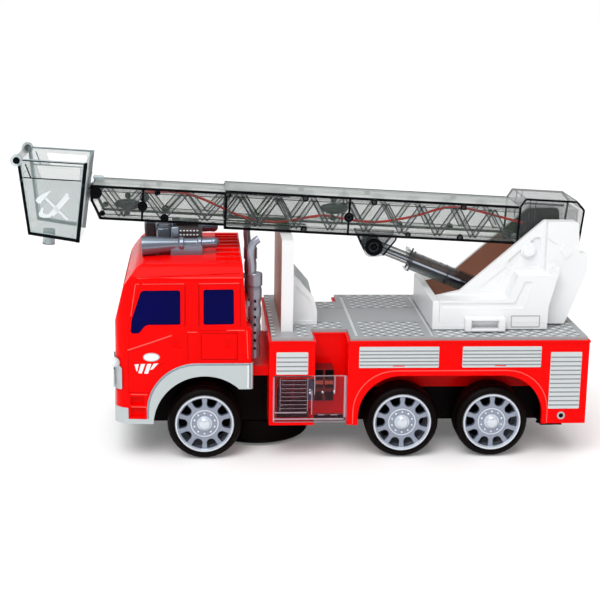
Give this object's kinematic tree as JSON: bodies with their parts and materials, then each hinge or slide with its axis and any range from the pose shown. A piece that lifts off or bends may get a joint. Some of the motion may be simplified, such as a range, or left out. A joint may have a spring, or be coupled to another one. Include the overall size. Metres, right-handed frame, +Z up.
{
  "type": "toy ladder fire engine",
  "caption": "Toy fire engine with a slewing turret, a lifting and extending lattice ladder with a lift cylinder, a tilting basket, turning wheels and a swivelling drive unit.",
  "frame": {"origin": "on the floor under the middle of the toy's overall length, on its centre plane", "axes": "+X forward, from the turret's back to the basket; +Y to the toy's left; +Z up"},
  "size_m": [0.3274, 0.1064, 0.17],
  "materials": {
    "red_plastic": "moulded gloss red",
    "white_plastic": "moulded gloss white",
    "grey_plastic": "moulded light grey, satin",
    "black_plastic": "moulded matt black",
    "dark_grey_plastic": "moulded dark grey",
    "silver_plastic": "silver coloured plastic",
    "rim_plastic": "blue-grey silver plastic",
    "blue_glazing": "deep blue, nearly opaque",
    "clear_plastic": "clear, glossy",
    "smoke_plastic": "smoked clear plastic",
    "dark_smoke_plastic": "dark smoked clear plastic",
    "red_lens": "clear red lens",
    "lens_plastic": "clear ribbed lens",
    "chrome_plastic": "bright plated plastic",
    "tyre_plastic": "hard black vinyl",
    "wire_cover": "red insulation",
    "steel": "plain steel rod"
  },
  "bodies": {
    "chassis": {"chassis_frame": "black_plastic", "body_shell": "red_plastic", "deck_plate": "grey_plastic", "side_shutters": "grey_plastic", "clear_covers": "clear_plastic", "sound_modules": "dark_grey_plastic", "cab_shell": "red_plastic", "cab_glazing": "blue_glazing", "bumper_trim": "silver_plastic", "headlamp_lenses": "lens_plastic", "headlamp_bowls": "chrome_plastic", "cab_grille": "silver_plastic", "roof_horns": "silver_plastic", "beacon_bar": "blue_glazing", "exhaust_stacks": "silver_plastic", "ladder_rest": "white_plastic", "tail_lamps": "red_lens", "rear_shutter": "grey_plastic"},
    "front_wheels": {"front_axle": "steel", "front_tyres": "tyre_plastic", "front_rims": "rim_plastic"},
    "middle_wheels": {"middle_axle": "steel", "middle_tyres": "tyre_plastic", "middle_rims": "rim_plastic"},
    "rear_wheels": {"rear_axle": "steel", "rear_tyres": "tyre_plastic", "rear_rims": "rim_plastic"},
    "drive_unit": {"drive_turntable": "black_plastic"},
    "drive_wheel_pair": {"drive_wheels": "tyre_plastic"},
    "turret": {"turret_base": "white_plastic", "turret_left": "white_plastic", "turret_right": "white_plastic", "elevation_pin": "steel", "barrel_pin": "steel"},
    "boom": {"boom_left": "smoke_plastic", "boom_right": "smoke_plastic", "boom_hood": "smoke_plastic", "boom_lug": "dark_smoke_plastic", "boom_module": "grey_plastic", "ladder_wire": "wire_cover"},
    "fly": {"fly_left": "smoke_plastic", "fly_right": "smoke_plastic", "fly_module": "grey_plastic", "fly_hinge": "steel"},
    "basket": {"basket_tub": "smoke_plastic", "basket_rod": "dark_smoke_plastic", "basket_nozzle": "clear_plastic"},
    "lift_barrel": {"lift_barrel": "dark_smoke_plastic"},
    "lift_rod": {"lift_rod": "dark_smoke_plastic"}
  },
  "joints": [
    {"name": "front_axle_turn", "type": "hinge", "parent": "chassis", "child": "front_wheels", "pos_m": [0.05687, 0, 0.021], "axis": [0, 1, 0], "continuous": true},
    {"name": "middle_axle_turn", "type": "hinge", "parent": "chassis", "child": "middle_wheels", "pos_m": [-0.05553, 0, 0.021], "axis": [0, 1, 0], "continuous": true},
    {"name": "rear_axle_turn", "type": "hinge", "parent": "chassis", "child": "rear_wheels", "pos_m": [-0.10723, 0, 0.021], "axis": [0, 1, 0], "continuous": true},
    {"name": "drive_slew", "type": "hinge", "parent": "chassis", "child": "drive_unit", "pos_m": [0.02587, 0, 0.0012], "axis": [0, 0, 1], "continuous": true},
    {"name": "drive_wheel_turn", "type": "hinge", "parent": "drive_unit", "child": "drive_wheel_pair", "pos_m": [0.02587, 0, 0.0065], "axis": [0, 1, 0], "continuous": true},
    {"name": "turret_slew", "type": "hinge", "parent": "chassis", "child": "turret", "pos_m": [-0.11113, 0, 0.0716], "axis": [0, 0, 1], "range_deg": [-170, 170]},
    {"name": "ladder_lift", "type": "hinge", "parent": "turret", "child": "boom", "pos_m": [-0.13013, 0, 0.1155], "axis": [0, -1, 0], "range_deg": [0, 60]},
    {"name": "ladder_extend", "type": "slide", "parent": "boom", "child": "fly", "axis": [0.9987, 0, 0.0506], "range_m": [0, 0.035], "deforming": ["ladder_wire"]},
    {"name": "basket_level", "type": "hinge", "parent": "fly", "child": "basket", "pos_m": [0.11966, 0, 0.14568], "axis": [0, 1, 0], "range_deg": [0, 20]},
    {"name": "barrel_pivot", "type": "hinge", "parent": "turret", "child": "lift_barrel", "pos_m": [-0.11113, 0, 0.0866], "axis": [0, -1, 0], "range_deg": [0, 54.17]},
    {"name": "rod_slide", "type": "slide", "parent": "lift_barrel", "child": "lift_rod", "axis": [0.9281, 0, 0.3724], "range_m": [0, 0.03335]}
  ],
  "couplings": [
    {"joint": "barrel_pivot", "follows": "ladder_lift", "ratio": 0.90277},
    {"joint": "rod_slide", "follows": "ladder_lift", "m_per_rad": 0.031848}
  ]
}
